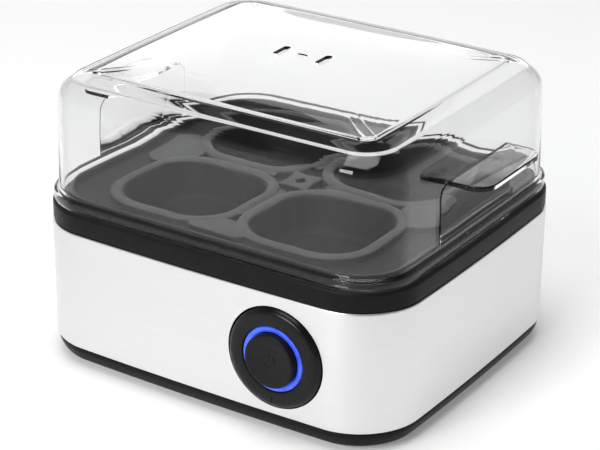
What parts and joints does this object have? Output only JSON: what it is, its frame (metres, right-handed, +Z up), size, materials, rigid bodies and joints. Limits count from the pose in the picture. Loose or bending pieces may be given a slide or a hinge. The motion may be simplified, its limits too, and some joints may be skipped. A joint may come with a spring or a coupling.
{
  "type": "egg cooker",
  "caption": "Electric egg cooker with a steel-clad base, a lit push button, a lift-out poaching tray and a clear domed lid.",
  "frame": {"origin": "on the floor under the middle of the object's box", "axes": "+Z up; +X to the right along the front; the front with the push button faces -Y"},
  "size_m": [0.226, 0.1849, 0.1456],
  "materials": {
    "body_plastic": "fine satin moulded black plastic",
    "knob_plastic": "polished black plastic",
    "steel_skin": "fine brushing round the body",
    "dish_steel": "pressed stainless steel",
    "plated_metal": "zinc plated",
    "brass_parts": "plain",
    "spreader_aluminium": "plain",
    "rubber_feet": "matt",
    "seal_silicone": "matt",
    "thermostat_plastic": "phenolic",
    "sleeve": "woven glass sleeve",
    "terminal_nylon": "nylon",
    "circuit_board": "lacquered board",
    "light_guide": "translucent, lit blue",
    "wire_brown": "silicone insulation",
    "wire_blue": "silicone insulation",
    "wire_green": "silicone insulation",
    "tray_coating": "dark grey non-stick coating",
    "lid_clear": "clear moulded plastic"
  },
  "bodies": {
    "root": {"base_cover": "body_plastic", "base_screw_1": "plated_metal", "base_screw_2": "plated_metal", "base_screw_3": "plated_metal", "base_screw_4": "plated_metal", "bezel": "knob_plastic", "bracket_screw_1": "plated_metal", "bracket_screw_2": "plated_metal", "button_spring": "plated_metal", "clip_screw_1": "plated_metal", "clip_screw_2": "plated_metal", "clip_screw_3": "plated_metal", "clip_screw_4": "plated_metal", "control_board": "circuit_board", "control_housing": "body_plastic", "cord_gland": "body_plastic", "dish_clip_1": "plated_metal", "dish_clip_2": "plated_metal", "dish_clip_3": "plated_metal", "dish_clip_4": "plated_metal", "dish_seal": "seal_silicone", "earth_screw": "brass_parts", "earth_tag": "brass_parts", "element_terminal_1": "brass_parts", "element_terminal_2": "brass_parts", "foot_1": "rubber_feet", "foot_2": "rubber_feet", "foot_3": "rubber_feet", "foot_4": "rubber_feet", "fuse_clamp": "plated_metal", "heat_shield": "plated_metal", "heat_spreader": "spreader_aluminium", "heating_dish": "dish_steel", "heating_element": "plated_metal", "housing_screw_1": "plated_metal", "housing_screw_2": "plated_metal", "light_ring": "light_guide", "shield_stud_1": "plated_metal", "shield_stud_2": "plated_metal", "shield_stud_3": "plated_metal", "shield_stud_4": "plated_metal", "steel_shell": "steel_skin", "switch_body": "body_plastic", "switch_bracket": "plated_metal", "terminal_block": "terminal_nylon", "thermal_fuse": "sleeve", "thermostat": "thermostat_plastic", "thermostat_bracket": "plated_metal", "top_collar": "body_plastic", "wire_earth": "wire_green", "wire_heater": "wire_brown", "wire_live": "wire_brown", "wire_neutral": "wire_blue", "wire_switched": "wire_brown", "wire_thermostat": "wire_brown"},
    "tray": {"poaching_tray": "tray_coating"},
    "lid": {"lid": "lid_clear"},
    "button": {"button": "knob_plastic", "button_clip": "plated_metal"}
  },
  "joints": [
    {"name": "tray_lift", "type": "slide", "parent": "root", "child": "tray", "axis": [0, 0, 1], "range_m": [0, 0.06]},
    {"name": "lid_lift", "type": "slide", "parent": "tray", "child": "lid", "axis": [0, 0, 1], "range_m": [0, 0.12]},
    {"name": "button_press", "type": "slide", "parent": "root", "child": "button", "axis": [0, 1, 0], "range_m": [0, 0.0025], "stiffness_N_per_m": 600, "springref_m": -0.002, "deforming": ["button_spring"]}
  ]
}
